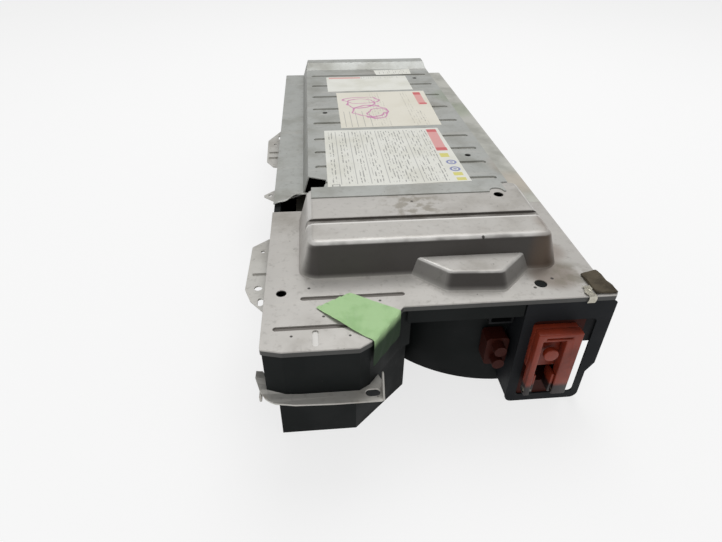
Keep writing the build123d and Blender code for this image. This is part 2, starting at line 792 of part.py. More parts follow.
def end_plate(face, outward):
    """Ribbed clamping plate whose flat face meets the stack."""
    with BuildPart() as plate:
        with BuildSketch(facing_front(face)):
            with Locations((0.0, rail_top)):
                Rectangle(module_width, module_height + 14.0, align=(Align.CENTER, Align.MIN))
            with Locations((-rod_x, rail_top), (rod_x, rail_top)):
                Rectangle(24.0, 14.0, align=(Align.CENTER, Align.MAX))
        extrude(amount=-outward * 6.0)
        with BuildSketch(facing_front(face)):
            with Locations((0.0, rail_top + 8.0), (0.0, rail_top + 50.0), (0.0, module_top - 14.0)):
                Rectangle(module_width, 5.0)
            with Locations((0.0, rail_top + (module_height + 14.0) / 2)):
                with GridLocations(45.0, 1.0, 7, 1):
                    Rectangle(5.0, module_height + 14.0)
        extrude(amount=-outward * end_plate_thickness)
        with BuildSketch(facing_front(face)):
            with Locations((-rod_x, rod_above), (rod_x, rod_above), (-rod_x, rod_below), (rod_x, rod_below)):
                Circle(rod_diameter / 2)
            with Locations((hose_x, module_top + 14.0)):
                Rectangle(2 * hose_radius + 4.0, 28.0)
        extrude(amount=-outward * end_plate_thickness, mode=Mode.SUBTRACT)
    return plate


end_plate_near = end_plate(stack_start, -1)
end_plate_near.part.label = "end_plate_near"
end_plate_far = end_plate(stack_end, 1)
end_plate_far.part.label = "end_plate_far"

rod_places = [(-rod_x, rod_above), (rod_x, rod_above), (-rod_x, rod_below), (rod_x, rod_below)]
with BuildPart() as tie_rods:
    with BuildSketch(facing_front(stack_end + 12.0)):
        with Locations(*rod_places):
            Circle(rod_diameter / 2)
    extrude(amount=stack_end - stack_start + 24.0)
    for face in (stack_start - 6.0, stack_end + 12.0):
        with BuildSketch(facing_front(face)):
            with Locations(*rod_places):
                RegularPolygon(7.5, 6)
        extrude(amount=6.0)

tie_rods.part.label = "tie_rods"

terminal_z = rail_top + terminal_height
stack_middle = along((stack_start + stack_end + module_gap) / 2)
terminal_x = module_width / 2 + terminal_reach
frame_sheet = 2.0


def bus_bar_frame(side):
    """Plastic carrier along one side of the stack, with a window for each terminal."""
    with BuildPart() as frame:
        with BuildSketch(Plane.YZ.offset(side * (module_width / 2 + running_gap))):
            with Locations((stack_middle, terminal_z)):
                Rectangle(module_count * module_pitch - 2.0, 34.0)
                with GridLocations(module_pitch, 1.0, module_count, 1):
                    Rectangle(13.0, 13.0, mode=Mode.SUBTRACT)
        extrude(amount=side * frame_sheet)
        with BuildSketch(Plane.YZ.offset(side * (module_width / 2 + running_gap))):
            with Locations((stack_middle, terminal_z + 17.0), (stack_middle, terminal_z - 17.0)):
                Rectangle(module_count * module_pitch - 2.0, frame_sheet)
        extrude(amount=side * 15.0)
    return frame


bus_bar_frame_left = bus_bar_frame(-1)
bus_bar_frame_left.part.label = "bus_bar_frame_left"
bus_bar_frame_right = bus_bar_frame(1)
bus_bar_frame_right.part.label = "bus_bar_frame_right"

first_terminal = stack_start + module_gap + case_depth / 2
with BuildPart() as bus_bars:
    with BuildSketch(Plane.YZ.offset(-terminal_x)):
        for pair in range(module_count // 2):
            with Locations((along(first_terminal + (2 * pair + 0.5) * module_pitch), terminal_z)):
                Rectangle(module_pitch + 12.0, 12.0)
    extrude(amount=-bus_thickness)
    with BuildSketch(Plane.YZ.offset(terminal_x)):
        for pair in range(module_count // 2 - 1):
            with Locations((along(first_terminal + (2 * pair + 1.5) * module_pitch), terminal_z)):
                Rectangle(module_pitch + 12.0, 12.0)
        with Locations((along(first_terminal), terminal_z),
                       (along(first_terminal + (module_count - 1) * module_pitch), terminal_z)):
            Rectangle(12.0, 12.0)
    extrude(amount=bus_thickness)

bus_bars.part.label = "bus_bars"

with BuildPart() as terminal_nuts:
    for side in (-1, 1):
        with BuildSketch(Plane.YZ.offset(side * (terminal_x + bus_thickness))):
            with Locations((stack_middle, terminal_z)):
                with GridLocations(module_pitch, 1.0, module_count, 1):
                    RegularPolygon(5.5, 6)
        extrude(amount=side * 4.0)

terminal_nuts.part.label = "terminal_nuts"

hose_z = module_top + 3.0 + hose_radius
with BuildPart() as vent_hose:
    with BuildLine() as hose_path:
        FilletPolyline(
            (hose_x, along(stack_end - 4.0), hose_z),
            (hose_x, along(stack_start - 28.0), hose_z),
            (-wall_x + case_sheet + running_gap, along(stack_start - 28.0), hose_z),
            radius=26.0,
        )
    with BuildSketch(Plane(hose_path.line @ 0, z_dir=hose_path.line % 0)):
        Circle(hose_radius)
    sweep(path=hose_path.line)

vent_hose.part.label = "vent_hose"

# ---------------------------------------------------------------- electrics at the near end
ecu_width = 110.0
ecu_run = 130.0
with BuildPart() as battery_ecu:
    add_block(-166.0, 112.0, case_sheet + 4.0, ecu_width, ecu_run, 30.0)
    for x in (-166.0, -166.0 + ecu_width - 16.0):
        for distance in (104.0, 112.0 + ecu_run - 8.0):
            add_block(x, distance, case_sheet, 16.0, 16.0, 4.5)
    add_block(-140.0, 104.0, case_sheet + 10.0, 56.0, 8.0, 16.0)

battery_ecu.part.label = "battery_ecu"

junction_left = -20.0
junction_width = 176.0
junction_front = 164.0
junction_run = 98.0
junction_top = 52.0
with BuildPart() as junction_block:
    with BuildSketch(Plane.XY.offset(case_sheet)):
        with Locations((junction_left + junction_width / 2, along(junction_front + junction_run / 2))):
            RectangleRounded(junction_width, junction_run, 6.0)
    extrude(amount=junction_top - case_sheet)
    with BuildSketch(Plane.XY.offset(junction_top)):
        with Locations((junction_left + junction_width / 2, along(junction_front + junction_run / 2))):
            Rectangle(junction_width - 8.0, junction_run - 8.0)
            Rectangle(junction_width - 12.0, junction_run - 12.0, mode=Mode.SUBTRACT)
    extrude(amount=5.0)

junction_block.part.label = "junction_block"

relay_places = [(junction_left + 36.0 + 54.0 * step, along(junction_front + 28.0)) for step in range(3)]
with BuildPart() as main_relays:
    with BuildSketch(Plane.XY.offset(junction_top)):
        with Locations(*relay_places):
            RectangleRounded(42.0, 34.0, 4.0)
    extrude(amount=46.0)
    with BuildSketch(Plane.XY.offset(junction_top + 46.0)):
        for x, y in relay_places:
            with Locations((x - 10.0, y), (x + 10.0, y)):
                RegularPolygon(5.5, 6)
    extrude(amount=7.0)

main_relays.part.label = "main_relays"

with BuildPart() as precharge_resistor:
    with BuildSketch(Plane.XY.offset(junction_top)):
        with Locations((junction_left + 50.0, along(junction_front + 70.0))):
            Rectangle(70.0, 20.0)
    extrude(amount=16.0)
    with BuildSketch(Plane.XY.offset(junction_top + 6.0)):
        with Locations((junction_left + 50.0, along(junction_front + 70.0))):
            with GridLocations(10.0, 1.0, 6, 1):
                Rectangle(5.0, 20.0)
    extrude(amount=20.0, mode=Mode.SUBTRACT)

precharge_resistor.part.label = "precharge_resistor"

with BuildPart() as current_sensor:
    with BuildSketch(facing_front(junction_front + 80.0)):
        with Locations((junction_left + 128.0, junction_top + 21.0)):
            RectangleRounded(44.0, 42.0, 5.0)
            Circle(11.0, mode=Mode.SUBTRACT)
    extrude(amount=18.0)

current_sensor.part.label = "current_sensor"

# ---------------------------------------------------------------- files
pieces = [
    lower_case, near_lid, far_lid, plug_panel, service_plug_socket, service_plug_grip,
    service_plug_lever, lever_pins, hv_connector, signal_connector, front_bracket,
    side_bracket_near, side_bracket_far, side_lug, bracket_bolts, corner_pad, earth_tab,
    masking_tape, labels, end_plate_near, end_plate_far, tie_rods, bus_bar_frame_left,
    bus_bar_frame_right, bus_bars, terminal_nuts, vent_hose, battery_ecu, junction_block,
    main_relays, precharge_resistor, current_sensor,
]
for piece in pieces + modules:
    export_step(piece.part, "parts/" + piece.part.label + ".step")
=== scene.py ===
import json
import math

import bpy
from mathutils import Matrix, Vector


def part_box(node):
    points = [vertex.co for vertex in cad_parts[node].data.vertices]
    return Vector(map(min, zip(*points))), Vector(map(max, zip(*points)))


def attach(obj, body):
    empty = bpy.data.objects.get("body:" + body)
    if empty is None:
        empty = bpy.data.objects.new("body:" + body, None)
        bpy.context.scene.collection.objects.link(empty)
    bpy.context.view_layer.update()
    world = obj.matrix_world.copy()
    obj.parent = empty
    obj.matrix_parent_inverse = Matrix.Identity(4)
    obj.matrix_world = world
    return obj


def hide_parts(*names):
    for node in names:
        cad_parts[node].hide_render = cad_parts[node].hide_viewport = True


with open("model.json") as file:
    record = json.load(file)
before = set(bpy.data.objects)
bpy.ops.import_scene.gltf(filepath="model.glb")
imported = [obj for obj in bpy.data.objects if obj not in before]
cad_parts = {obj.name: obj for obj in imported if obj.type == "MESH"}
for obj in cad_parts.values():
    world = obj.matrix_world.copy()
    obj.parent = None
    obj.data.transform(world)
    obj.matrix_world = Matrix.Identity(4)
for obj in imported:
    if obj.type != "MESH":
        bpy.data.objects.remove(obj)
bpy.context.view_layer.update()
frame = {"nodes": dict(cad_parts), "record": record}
nodes = frame["nodes"]

# Traction battery pack of a hybrid car, seen from above its service plug end.
# Metres. X runs across the pack, Y along it, Z up; the near edge of the lid is at -Y.

near_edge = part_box("near_lid")[0].y
lid_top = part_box("masking_tape")[1].z - 0.0003
panel_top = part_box("labels")[0].z


def behind(distance):
    """Y of a place that lies a number of millimetres behind the near edge of the lid."""
    return near_edge + distance / 1000


# ---------------------------------------------------------------- finishes
def tone(red, green, blue):
    """A colour written as it looks on screen, each channel from 0 to 255."""
    def linear(channel):
        part = channel / 255
        return part / 12.92 if part < 0.04045 else ((part + 0.055) / 1.055) ** 2.4
    return (linear(red), linear(green), linear(blue), 1.0)


class Signal:
    """One output of a material's nodes, which can be reckoned with like a number."""

    def __init__(self, finish, socket):
        self.finish = finish
        self.socket = socket

    def reckon(self, operation, *others, clamp=False):
        node = self.finish.tree.nodes.new("ShaderNodeMath")
        node.operation = operation
        node.use_clamp = clamp
        for place, value in enumerate((self,) + others):
            self.finish.feed(node.inputs[place], value)
        return Signal(self.finish, node.outputs[0])

    def turned(self, operation, other):
        node = self.finish.tree.nodes.new("ShaderNodeMath")
        node.operation = operation
        self.finish.feed(node.inputs[0], other)
        self.finish.feed(node.inputs[1], self)
        return Signal(self.finish, node.outputs[0])

    def __add__(self, other):
        return self.reckon("ADD", other)

    def __radd__(self, other):
        return self.turned("ADD", other)

    def __sub__(self, other):
        return self.reckon("SUBTRACT", other)

    def __rsub__(self, other):
        return self.turned("SUBTRACT", other)

    def __mul__(self, other):
        return self.reckon("MULTIPLY", other)

    def __rmul__(self, other):
        return self.turned("MULTIPLY", other)

    def __truediv__(self, other):
        return self.reckon("DIVIDE", other)

    def __rtruediv__(self, other):
        return self.turned("DIVIDE", other)

    def size(self):
        return self.reckon("ABSOLUTE")

    def below(self, edge, soft=0.0005):
        """1 where the value is under an edge, fading to 0 over a soft width."""
        return self.finish.ramp(self, edge - soft, edge + soft, 1.0, 0.0)

    def above(self, edge, soft=0.0005):
        return self.finish.ramp(self, edge - soft, edge + soft, 0.0, 1.0)

    def within(self, low, high, soft=0.0005):
        return self.above(low, soft) * self.below(high, soft)


class Finish:
    """A material for one kind of surface, built up in layers of colour, roughness and relief."""

    def __init__(self, name, colour, roughness=0.5, metallic=0.0, specular=0.5, coat=0.0):
        self.material = bpy.data.materials.new(name)
        self.material.use_nodes = True
        self.tree = self.material.node_tree
        self.shader = self.tree.nodes["Principled BSDF"]
        self.shader.inputs["Specular IOR Level"].default_value = specular
        self.shader.inputs["Coat Weight"].default_value = coat
        place = self.tree.nodes.new("ShaderNodeTexCoord")
        self.place = Signal(self, place.outputs["Object"])
        split = self.tree.nodes.new("ShaderNodeSeparateXYZ")
        self.tree.links.new(place.outputs["Object"], split.inputs[0])
        self.x, self.y, self.z = [Signal(self, output) for output in split.outputs]
        facing = self.tree.nodes.new("ShaderNodeNewGeometry")
        faces = self.tree.nodes.new("ShaderNodeSeparateXYZ")
        self.tree.links.new(facing.outputs["Normal"], faces.inputs[0])
        self.toward_x, self.toward_y, self.toward_z = [Signal(self, output) for output in faces.outputs]
        self.colour = self.plain(colour)
        self.roughness = roughness
        self.metallic = metallic
        self.relief = None

    def feed(self, socket, value):
        """Joins a signal to a socket, or sets the socket to a fixed value."""
        if isinstance(value, Signal):
            self.tree.links.new(value.socket, socket)
        else:
            socket.default_value = value

    def node(self, kind, inputs, output=0, **settings):
        """Any other node, with its inputs and settings; returns one of its outputs."""
        made = self.tree.nodes.new(kind)
        for name, value in settings.items():
            setattr(made, name, value)
        for name, value in inputs.items():
            self.feed(made.inputs[name], value)
        return Signal(self, made.outputs[output])

    def plain(self, colour):
        return self.node("ShaderNodeMix", {0: 0.0, 6: colour, 7: colour}, 2, data_type="RGBA")

    def ramp(self, value, low, high, first, last):
        return self.node("ShaderNodeMapRange", {0: value, 1: low, 2: high, 3: first, 4: last},
                         interpolation_type="SMOOTHSTEP")

    def stretched(self, across, along, up):
        return self.node("ShaderNodeVectorMath", {0: self.place, 1: (across, along, up)}, operation="MULTIPLY")

    def noise(self, scale, detail=3.0, roughness=0.55, stretch=None):
        """Cloudy noise of a scale in cells per metre."""
        place = self.stretched(*stretch) if stretch else self.place
        return self.node("ShaderNodeTexNoise", {"Vector": place, "Scale": scale, "Detail": detail,
                                                "Roughness": roughness}, "Fac")

    def specks(self, scale, size):
        """1 inside small round specks, scattered about the surface."""
        distance = self.node("ShaderNodeTexVoronoi", {"Vector": self.place, "Scale": scale}, "Distance")
        return self.ramp(distance, size, size * 1.6, 1.0, 0.0)

    def tint(self, colour, amount):
        """Lays a colour over what is there, by an amount from 0 to 1."""
        self.colour = self.node("ShaderNodeMix", {0: amount, 6: self.colour, 7: colour}, 2, data_type="RGBA")

    def spot(self, x, distance, radius, soft=0.3):
        """1 inside a round patch seen from above, its middle given behind the near edge."""
        across = (self.x - x / 1000) / (radius / 1000)
        along = (self.y - behind(distance)) / (radius / 1000)
        reach = across * across + along * along
        return self.ramp(reach, 1.0 - soft, 1.0 + soft, 1.0, 0.0)

    def raise_by(self, height):
        """Adds fine relief, in metres."""
        self.relief = height if self.relief is None else self.relief + height

    def done(self):
        self.feed(self.shader.inputs["Base Color"], self.colour)
        self.feed(self.shader.inputs["Roughness"], self.roughness)
        self.feed(self.shader.inputs["Metallic"], self.metallic)
        if self.relief is not None:
            bump = self.node("ShaderNodeBump", {"Height": self.relief, "Distance": 1.0, "Strength": 1.0}, "Normal")
            self.feed(self.shader.inputs["Normal"], bump)
        return self.material


zinc_metallic = 0.35
hem_depth = 0.0016
dome_level = lid_top + 0.03


def galvanised(name, colour, painted_shade_below):
    """Zinc-coated steel sheet: mottled, with handling marks and specks, and painted shade on the lower hem."""
    steel = Finish(name, colour, metallic=zinc_metallic, specular=0.5)
    cloud = steel.noise(9.0, 5.0, 0.6)
    grain = steel.noise(160.0, 3.0, 0.6)
    streaks = steel.noise(30.0, 4.0, 0.6, stretch=(0.25, 2.0, 1.0))
    steel.tint(tone(138, 132, 122), steel.ramp(cloud, 0.48, 0.75, 0.0, 0.55))
    steel.tint(tone(208, 205, 198), steel.ramp(streaks, 0.52, 0.78, 0.0, 0.5))
    steel.tint(tone(120, 116, 108), steel.ramp(grain, 0.52, 0.8, 0.0, 0.35))
    steel.tint(tone(62, 58, 52), steel.specks(95.0, 0.05) * steel.ramp(cloud, 0.4, 0.6, 0.0, 0.8))
    steel.roughness = steel.ramp(cloud, 0.3, 0.75, 0.38, 0.56)
    steel.raise_by(grain * 0.00006)
    steel.raise_by(steel.noise(14.0, 2.0) * 0.0009)
    # Painted shade: everything below the given height is made near black and less metallic.
    painted_shade_hem = steel.z.below(painted_shade_below, 0.0006)
    steel.tint(tone(40, 41, 40), painted_shade_hem * 0.93)
    steel.metallic = zinc_metallic - painted_shade_hem * 0.3
    return steel


lid_steel = galvanised("lid_steel", tone(196, 193, 188), lid_top - hem_depth)
# Painted shade on the front slopes of the dome, stronger away from their foot.
shaded_front_slope = lid_steel.ramp(lid_steel.toward_y, -0.9, -0.25, 1.0, 0.0) * lid_steel.z.above(lid_top + 0.002)
slope_shade = lid_steel.ramp(lid_steel.z, lid_top + 0.0005, lid_top + 0.007, 0.45, 0.95)
lid_steel.tint(tone(62, 58, 55), shaded_front_slope * slope_shade)
# Painted highlight along the rounded edges of the pressings, broken up by noise.
painted_edge_highlight = (lid_steel.ramp(lid_steel.toward_z, 0.55, 0.72, 0.0, 1.0)
                * lid_steel.ramp(lid_steel.toward_z, 0.93, 0.99, 1.0, 0.0))
lid_steel.tint(tone(232, 230, 226), painted_edge_highlight * lid_steel.ramp(lid_steel.noise(24.0), 0.35, 0.6, 0.3, 0.85))
lid_steel.tint(tone(112, 92, 74), lid_steel.spot(132, 96, 26, 0.7) * 0.6)
lid_steel.tint(tone(128, 108, 92), lid_steel.spot(142, 140, 20, 0.8) * 0.5)
lid_steel.tint(tone(132, 124, 108), lid_steel.spot(-8, 190, 34, 0.8)
               * lid_steel.ramp(lid_steel.noise(70.0), 0.45, 0.6, 0.0, 0.6))
lid_steel.tint(tone(122, 117, 100), lid_steel.spot(150, 92, 24, 0.7)
               * lid_steel.ramp(lid_steel.noise(60.0), 0.4, 0.6, 0.0, 0.5))
for x, distance, size in ((55, 118, 1.6), (128, 88, 1.8), (104, 74, 1.8), (-30, 226, 1.5), (-134, 92, 1.6),
                          (-120, 46, 1.5), (-151, 20, 1.4), (-96, 17, 1.3), (-62, 66, 1.4), (-9, 200, 1.6)):
    lid_steel.tint(tone(38, 34, 30), lid_steel.spot(x, distance, size) * 0.9)
# Dirt and painted shade along the far side of the groove across the dome.
groove_far_dirt_and_shade = lid_steel.y.within(behind(160), behind(168), 0.002) * lid_steel.z.above(dome_level)
lid_steel.tint(tone(104, 99, 94), groove_far_dirt_and_shade * lid_steel.ramp(lid_steel.noise(25.0), 0.3, 0.6, 0.4, 0.9))
# Painted highlight along the near edge of that groove.
groove_near_highlight = lid_steel.y.within(behind(154.5), behind(158.5), 0.0012) * lid_steel.z.above(dome_level)
lid_steel.tint(tone(236, 234, 230), groove_near_highlight * 0.85)
# Painted shade in the floors of the two longer beads, and a painted highlight in the floor of the short bead nearest
# the near edge.
bead_floor = lid_steel.z.within(lid_top - 0.0019, lid_top - 0.0006, 0.0002) * lid_steel.toward_z.above(0.5)
lid_steel.tint(tone(104, 98, 92), bead_floor * lid_steel.y.above(behind(28), 0.001) * 0.85)
lid_steel.tint(tone(232, 230, 226), bead_floor * lid_steel.y.below(behind(27), 0.001) * 0.85)
lid_steel = lid_steel.done()

far_lid_steel = galvanised("far_lid_steel", tone(184, 186, 182), lid_top - hem_depth)
rib_zone = far_lid_steel.z.within(panel_top - 0.0030, panel_top - 0.0003, 0.0002)
# Painted highlights on the near faces of the ribs, and lighter rib floors where they face up.
far_lid_steel.tint(tone(238, 237, 232), rib_zone
                   * far_lid_steel.ramp(far_lid_steel.toward_y, -0.9, -0.4, 1.0, 0.0) * 0.95)
far_lid_steel.tint(tone(206, 206, 200), rib_zone * far_lid_steel.toward_z.above(0.6) * 0.8)
right_flange = far_lid_steel.x.above(0.146, 0.002) * far_lid_steel.z.below(lid_top + 0.001)
far_lid_steel.tint(tone(212, 211, 202), right_flange * 0.7)
# Painted shade on the steep slopes of the raised panel.
shaded_side_slope = far_lid_steel.toward_z.below(0.6, 0.1) * far_lid_steel.z.above(lid_top + 0.001)
far_lid_steel.tint(tone(146, 147, 142), shaded_side_slope * 0.6)
rib_dirt = far_lid_steel.ramp(far_lid_steel.noise(22.0, 4.0), 0.42, 0.72, 0.0, 0.5)
far_lid_steel.tint(tone(142, 142, 132), rib_dirt)
far_lid_steel.tint(tone(140, 158, 118), far_lid_steel.spot(152, 640, 40, 0.9) * 0.35)
far_lid_steel.tint(tone(190, 172, 152), far_lid_steel.spot(160, 320, 34, 0.9) * 0.4)
far_lid_steel = far_lid_steel.done()


def dark_paint(name, colour, dust):
    """Paint or plastic with dust in patches and specks."""
    paint = Finish(name, colour, specular=0.12)
    cloud = paint.noise(18.0, 5.0)
    paint.tint(dust, paint.ramp(cloud, 0.5, 0.8, 0.0, 0.22))
    paint.tint(dust, paint.specks(70.0, 0.04) * 0.35)
    paint.roughness = paint.ramp(cloud, 0.3, 0.7, 0.5, 0.7)
    paint.raise_by(paint.noise(260.0, 2.0) * 0.00004)
    return paint


# The case and the plug panel are coloured near black as painted shade, for faces that stand in shadow.
case_paint = dark_paint("case_paint", tone(25, 28, 28), tone(58, 60, 58)).done()
panel_paint = dark_paint("panel_paint", tone(33, 35, 38), tone(60, 61, 62)).done()

bracket_steel = galvanised("bracket_steel", tone(204, 202, 196), -1.0)
bracket_steel.tint(tone(120, 92, 62), bracket_steel.ramp(bracket_steel.noise(45.0), 0.62, 0.8, 0.0, 0.4))
bracket_steel = bracket_steel.done()

bolt_steel = Finish("bolt_steel", tone(128, 122, 108), metallic=0.7)
bolt_steel.tint(tone(92, 76, 52), bolt_steel.ramp(bolt_steel.noise(180.0), 0.45, 0.7, 0.0, 0.6))
bolt_steel.roughness = bolt_steel.ramp(bolt_steel.noise(90.0), 0.3, 0.7, 0.3, 0.5)
bolt_steel = bolt_steel.done()

black_plastic = dark_paint("black_plastic", tone(30, 31, 33), tone(58, 58, 56)).done()

# The plug's orange is set darker than the plastic's own colour, as painted shade.
orange_plastic = Finish("orange_plastic", tone(140, 52, 30), specular=0.4)
shade = orange_plastic.noise(35.0, 4.0)
orange_plastic.tint(tone(96, 36, 24), orange_plastic.ramp(shade, 0.42, 0.72, 0.0, 0.7))
orange_plastic.tint(tone(74, 36, 26), orange_plastic.specks(150.0, 0.06) * 0.5)
orange_plastic.roughness = orange_plastic.ramp(shade, 0.3, 0.7, 0.35, 0.5)
orange_plastic.raise_by(orange_plastic.noise(700.0, 2.0) * 0.00003)
# The orange turns near black below 46 mm.
dark_lower_ends = orange_plastic.z.below(0.046, 0.004)
orange_plastic.tint(tone(16, 14, 14), dark_lower_ends * 0.97)
orange_plastic = orange_plastic.done()
# A dark orange for the connector and the plug socket, as painted shade; the dust on it is real.
shaded_orange = dark_paint("shaded_orange", tone(62, 26, 20), tone(54, 44, 40)).done()

tape_paper = Finish("tape_paper", tone(184, 220, 164), roughness=0.75, specular=0.3)
tape_paper.tint(tone(158, 200, 138), tape_paper.ramp(tape_paper.noise(40.0, 4.0), 0.42, 0.7, 0.0, 0.7))
long_fibres = tape_paper.noise(22.0, 3.0, stretch=(3.0, 0.6, 1.0))
tape_paper.tint(tone(196, 216, 182), tape_paper.ramp(long_fibres, 0.52, 0.75, 0.0, 0.6))
# Down the front wall the tape turns near black-green: painted shade, with the dark case showing through the thin
# tape.
tape_paper.tint(tone(30, 50, 32), tape_paper.ramp(tape_paper.z, lid_top - 0.012, lid_top + 0.0005, 0.97, 0.0))
tape_paper.raise_by(tape_paper.noise(120.0, 3.0, stretch=(1.0, 0.3, 1.0)) * 0.0004)
tape_paper.raise_by(tape_paper.noise(900.0, 2.0) * 0.00005)
tape_paper = tape_paper.done()

pad_foam = Finish("pad_foam", tone(96, 88, 74), roughness=0.85, specular=0.2)
pad_foam.tint(tone(66, 60, 50), pad_foam.ramp(pad_foam.noise(60.0, 4.0), 0.42, 0.68, 0.0, 0.8))
pad_foam.raise_by(pad_foam.noise(500.0, 3.0) * 0.0003)
pad_foam = pad_foam.done()

tab_metal = Finish("tab_metal", tone(204, 200, 186), roughness=0.32, metallic=0.6)
tab_metal.tint(tone(150, 144, 128), tab_metal.ramp(tab_metal.noise(130.0, 3.0), 0.45, 0.7, 0.0, 0.6))
tab_metal.raise_by(tab_metal.noise(180.0, 2.0) * 0.0006)
tab_metal = tab_metal.done()

end_plate_plastic = dark_paint("end_plate_plastic", tone(44, 45, 46), tone(84, 82, 78)).done()
frame_plastic = dark_paint("frame_plastic", tone(196, 192, 178), tone(140, 134, 120)).done()
relay_plastic = dark_paint("relay_plastic", tone(52, 54, 56), tone(96, 94, 88)).done()
hose_rubber = dark_paint("hose_rubber", tone(30, 30, 31), tone(64, 62, 60)).done()
module_plastic = dark_paint("module_plastic", tone(58, 60, 60), tone(98, 96, 90)).done()
copper = Finish("copper", tone(176, 104, 66), metallic=0.85)
copper.tint(tone(104, 66, 44), copper.ramp(copper.noise(80.0, 4.0), 0.45, 0.7, 0.0, 0.6))
copper.roughness = copper.ramp(copper.noise(80.0, 4.0), 0.3, 0.7, 0.25, 0.45)
copper = copper.done()
ecu_metal = Finish("ecu_metal", tone(150, 151, 150), metallic=0.7)
ecu_metal.tint(tone(112, 112, 110), ecu_metal.ramp(ecu_metal.noise(70.0, 4.0), 0.45, 0.7, 0.0, 0.5))
ecu_metal.roughness = ecu_metal.ramp(ecu_metal.noise(50.0), 0.3, 0.7, 0.35, 0.5)
ecu_metal = ecu_metal.done()


# ---------------------------------------------------------------- labels
def lines_of_print(sheet, left, right, front, back, pitch, word, strength):
    """Grey rows that run along the pack, broken into word-long dashes; no letters."""
    row = sheet.node("ShaderNodeMath", {0: sheet.x * (1000.0 / pitch)}, operation="FRACT")
    inked = sheet.ramp((row - 0.5).size(), 0.14, 0.26, 1.0, 0.0)
    dashes = sheet.node("ShaderNodeTexNoise", {"Vector": sheet.stretched(1000.0 / pitch, 1000.0 / word, 0.0),
                                               "Scale": 1.0, "Detail": 2.0, "Roughness": 0.7}, "Fac")
    inked = inked * sheet.ramp(dashes, 0.46, 0.56, 0.0, 1.0)
    field = sheet.x.within(left / 1000, right / 1000) * sheet.y.within(behind(front), behind(back))
    sheet.tint(tone(96, 96, 98), inked * field * strength)


def block_of_colour(sheet, left, right, front, back, colour, strength=0.9):
    """A bare field of colour."""
    field = sheet.x.within(left / 1000, right / 1000) * sheet.y.within(behind(front), behind(back))
    sheet.tint(colour, field * strength)


def rule_line(sheet, x, front, back):
    """A thin grey line along the pack."""
    block_of_colour(sheet, x - 0.4, x + 0.4, front, back, tone(140, 140, 142), 0.8)


label_film = Finish("label_film", tone(240, 240, 232), roughness=0.42, specular=0.5)
label_film.tint(tone(222, 221, 208), label_film.ramp(label_film.noise(16.0, 4.0), 0.4, 0.7, 0.0, 0.7))
label_film.tint(tone(236, 228, 208), label_film.y.within(behind(478), behind(675)) * 0.5)
red, pink, yellow, blue = tone(214, 92, 96), tone(232, 160, 158), tone(226, 218, 108), tone(112, 122, 184)
for left, right in ((-102, -91), (-84, -70), (-62, -52), (-44, -30), (-20, 18), (26, 44), (48, 58)):
    lines_of_print(label_film, left, right, 276, 462, 4.2, 11.0, 0.62)
for x in (-88, -67, -48, -24, 22):
    rule_line(label_film, x, 274, 464)
block_of_colour(label_film, -101, -90, 268, 275, tone(110, 110, 108), 0.75)
block_of_colour(label_film, -99.5, -91.5, 269.5, 273.5, tone(238, 238, 230), 1.0)
block_of_colour(label_film, 60, 76, 380, 462, pink)
block_of_colour(label_film, 60, 76, 452, 464, red)
block_of_colour(label_film, 60, 77, 376, 388, red)
block_of_colour(label_film, 61, 74, 352, 366, yellow)
block_of_colour(label_film, 66, 79, 290, 300, yellow)
block_of_colour(label_film, 67, 80, 275, 284, yellow)
for distance in (334, 311):
    label_film.tint(blue, (label_film.spot(72, distance, 7.5) - label_film.spot(72, distance, 4.6)) * 0.9)
    label_film.tint(blue, label_film.spot(72, distance, 2.6) * 0.7)
for x in (-68, -58, -48, -36, -24):
    rule_line(label_film, x, 484, 560)
for left, right in ((-20, 10), (44, 58)):
    lines_of_print(label_film, left, right, 486, 662, 5.0, 12.0, 0.22)
lines_of_print(label_film, 60, 72, 486, 560, 5.0, 9.0, 0.45)
block_of_colour(label_film, 72, 86, 590, 664, pink)
block_of_colour(label_film, 72, 86, 648, 662, red)
block_of_colour(label_film, 74, 88, 592, 600, red)
block_of_colour(label_film, -86, -20, 766, 775, tone(226, 150, 148), 0.8)
lines_of_print(label_film, -20, 60, 764, 776, 5.0, 14.0, 0.35)
lines_of_print(label_film, 22, 84, 796, 826, 4.5, 12.0, 0.4)

# marker scribble across the second label: loose loops of no meaning
wobble = label_film.noise(38.0, 2.0)
marker = tone(206, 110, 176)
for x, distance, wide, deep in ((-36, 604, 24, 26), (-22, 560, 30, 30), (-30, 622, 34, 18), (-8, 548, 17, 25)):
    across = (label_film.x - x / 1000) / (wide / 1000) + (wobble - 0.5) * 1.1
    along = (label_film.y - behind(distance)) / (deep / 1000) + (wobble - 0.5) * 0.8
    ring = ((across * across + along * along) - 1.0).size()
    field = label_film.y.within(behind(486), behind(664))
    label_film.tint(marker, label_film.ramp(ring, 0.08, 0.2, 0.8, 0.0) * field)
label_film.raise_by(label_film.noise(30.0, 2.0) * 0.0003)
label_film = label_film.done()

finish_of = {
    "case_paint": case_paint, "lid_steel": lid_steel, "panel_paint": panel_paint, "black_plastic": black_plastic,
    "orange_plastic": orange_plastic, "bolt_steel": bolt_steel, "bracket_steel": bracket_steel,
    "pad_foam": pad_foam, "tab_metal": tab_metal, "tape_paper": tape_paper, "label_film": label_film,
    "end_plate_plastic": end_plate_plastic, "frame_plastic": frame_plastic, "copper": copper,
    "hose_rubber": hose_rubber, "ecu_metal": ecu_metal, "relay_plastic": relay_plastic,
    "module_plastic": module_plastic,
}
for part in frame["record"]["subparts"]:
    mesh = nodes[part["node"]].data
    mesh.materials.clear()
    mesh.materials.append(finish_of[part["material_slot"]])
    for face in mesh.polygons:
        face.material_index = 0

for name in ("hv_connector", "service_plug_socket"):
    nodes[name].data.materials[0] = shaded_orange
nodes["far_lid"].data.materials[0] = far_lid_steel


